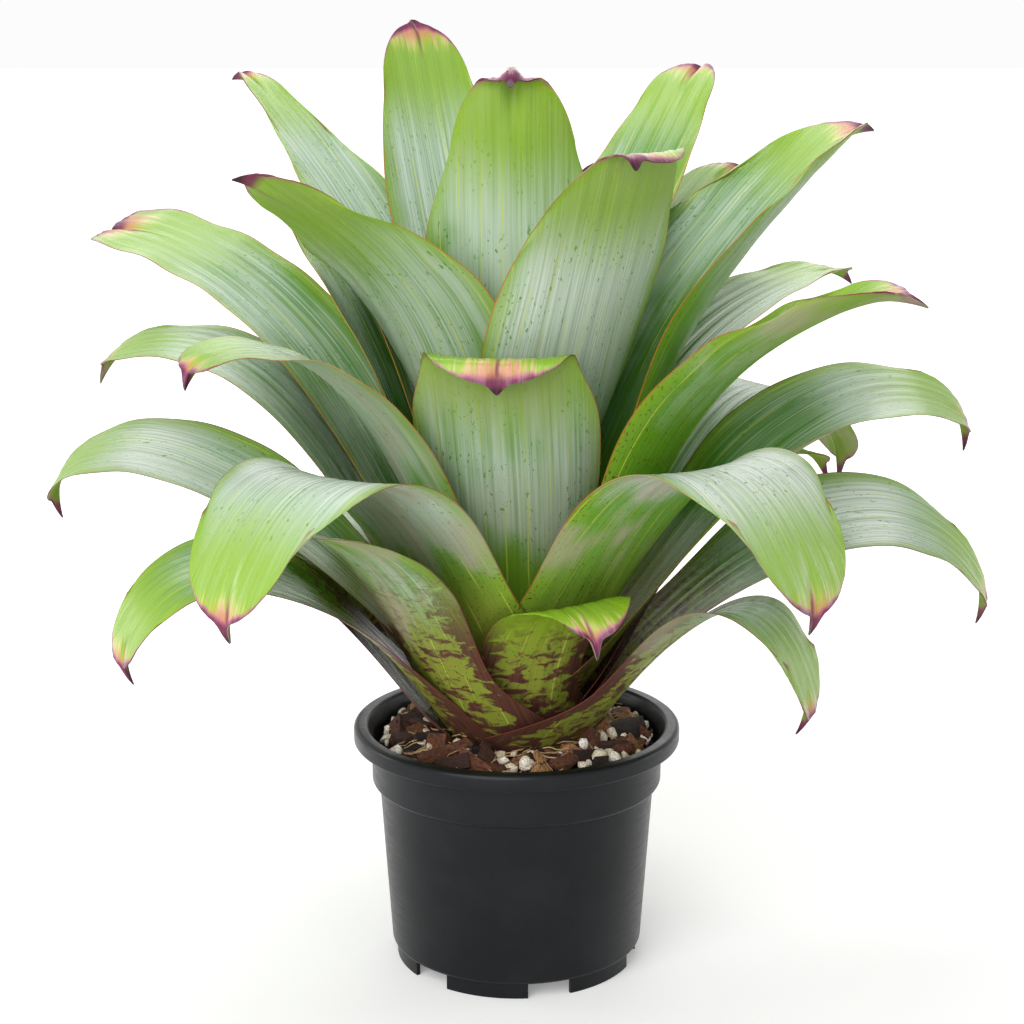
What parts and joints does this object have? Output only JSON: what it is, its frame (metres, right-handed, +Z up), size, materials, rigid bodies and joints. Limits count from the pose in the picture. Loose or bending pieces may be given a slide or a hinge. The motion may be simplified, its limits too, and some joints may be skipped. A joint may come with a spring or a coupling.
{
  "type": "potted bromeliad",
  "caption": "Tank bromeliad with broad arching strap leaves in an open rosette, growing in bark mix in a squat round plastic nursery pot on short feet.",
  "frame": {"origin": "on the floor, under the middle of the whole plant's outline, which is also the pot's own axis", "axes": "+Z up along the pot's axis; -Y towards the front of the plant, the side with the low leaf that curls over; +X to its right"},
  "size_m": [0.5923, 0.3694, 0.5766],
  "materials": {
    "pot_plastic": "satin, faintly scuffed",
    "bark_mix": "rough, damp",
    "stem_wood": "rough",
    "bark": "rough",
    "perlite": "matt, porous",
    "leaf": "satin"
  },
  "bodies": {
    "root": {"bark_chip_1": "bark", "bark_chip_2": "bark", "bark_chip_3": "bark", "bark_chip_4": "bark", "bark_chip_5": "bark", "bark_chip_6": "bark", "bark_chip_7": "bark", "bark_chip_8": "bark", "leaf_arch_back": "leaf", "leaf_arch_left": "leaf", "leaf_arch_left_front": "leaf", "leaf_arch_right": "leaf", "leaf_centre_front": "leaf", "leaf_droop_left": "leaf", "leaf_droop_left_front": "leaf", "leaf_droop_right": "leaf", "leaf_droop_right_back": "leaf", "leaf_droop_right_front": "leaf", "leaf_front_cup": "leaf", "leaf_front_right": "leaf", "leaf_inner_back": "leaf", "leaf_inner_left": "leaf", "leaf_inner_right": "leaf", "leaf_low_back": "leaf", "leaf_low_back_left": "leaf", "leaf_low_left": "leaf", "leaf_low_left_front": "leaf", "leaf_low_left_inner": "leaf", "leaf_low_right_front": "leaf", "leaf_mid_back": "leaf", "leaf_reach_right": "leaf", "leaf_reach_right_back": "leaf", "leaf_short_front": "leaf", "leaf_small_right_back": "leaf", "leaf_strip_left": "leaf", "leaf_tall_back_left": "leaf", "leaf_tall_left_back": "leaf", "leaf_tall_right_back": "leaf", "leaf_upper_back": "leaf", "leaf_upper_left_back": "leaf", "leaf_upper_left_front": "leaf", "leaf_upper_right": "leaf", "leaf_upper_right_back": "leaf", "perlite_1": "perlite", "perlite_2": "perlite", "perlite_3": "perlite", "perlite_4": "perlite", "perlite_5": "perlite", "perlite_6": "perlite", "perlite_7": "perlite", "pot": "pot_plastic", "potting_mix": "bark_mix", "stem": "stem_wood"}
  },
  "joints": []
}
